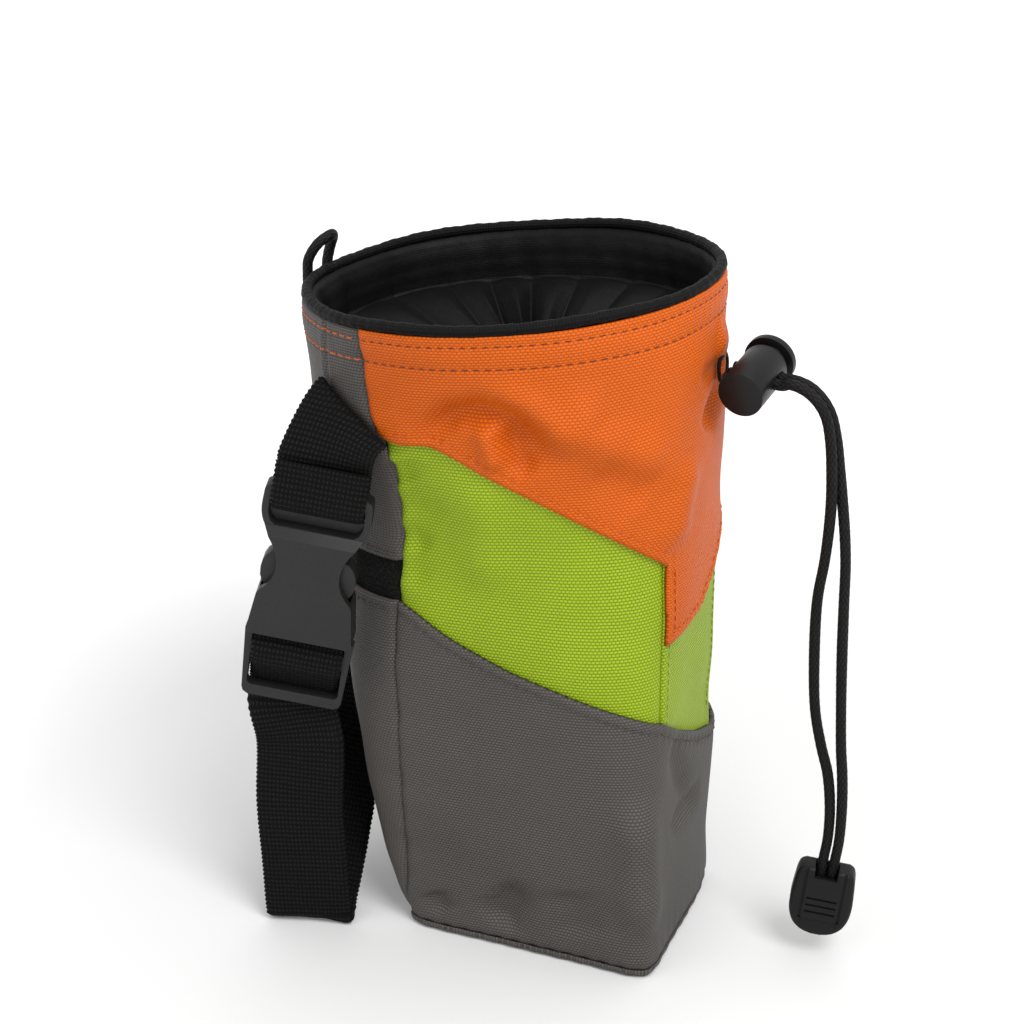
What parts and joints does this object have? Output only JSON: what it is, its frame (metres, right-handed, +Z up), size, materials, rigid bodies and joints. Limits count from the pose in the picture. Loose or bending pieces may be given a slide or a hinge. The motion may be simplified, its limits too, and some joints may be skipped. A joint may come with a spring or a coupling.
{
  "type": "climbing chalk bag",
  "caption": "Tall soft chalk bag in panelled cloth with a drawn-in black lining, a waist belt with a side-release buckle, and a draw cord with a sprung cord lock and end piece.",
  "frame": {"origin": "middle of the base, on the floor it stands on", "axes": "+Z up through the mouth, -Y towards the narrow front panel with the draw cord, +Y towards the side that lies against the wearer, -X towards the side with the buckle"},
  "size_m": [0.1083, 0.1684, 0.2063],
  "materials": {
    "orange_cloth": "matte",
    "green_cloth": "matte",
    "grey_cloth": "matte",
    "black_lining": "satin",
    "black_binding": "matte",
    "loop_tape": "matte",
    "belt_webbing": "matte",
    "braided_cord": "matte",
    "buckle_plastic": "satin",
    "lock_plastic": "satin",
    "end_plastic": "matte"
  },
  "bodies": {
    "bag": {"orange_panel": "orange_cloth", "grey_panel": "grey_cloth", "green_side_left": "green_cloth", "green_front": "green_cloth", "green_side_right": "green_cloth", "back_panel": "grey_cloth", "pocket_panel": "grey_cloth", "pocket_tape": "loop_tape", "base_panel": "grey_cloth", "rim_piping": "black_binding", "lining_collar": "black_lining", "closure": "black_lining", "buckle_socket": "buckle_plastic", "buckle_plug": "buckle_plastic", "strap_upper": "belt_webbing", "strap_lower": "belt_webbing", "cord_lock_barrel": "lock_plastic", "cord_eyelet": "black_binding", "drawcord_near": "braided_cord", "drawcord_far": "braided_cord", "cord_end": "end_plastic", "haul_loop": "braided_cord"},
    "button": {"cord_lock_button": "lock_plastic"}
  },
  "joints": [
    {"name": "lock_press", "type": "slide", "parent": "bag", "child": "button", "axis": [-0.9783, 0.114, -0.173], "range_m": [0, 0.002], "stiffness_N_per_m": 500, "springref_m": -0.001}
  ]
}
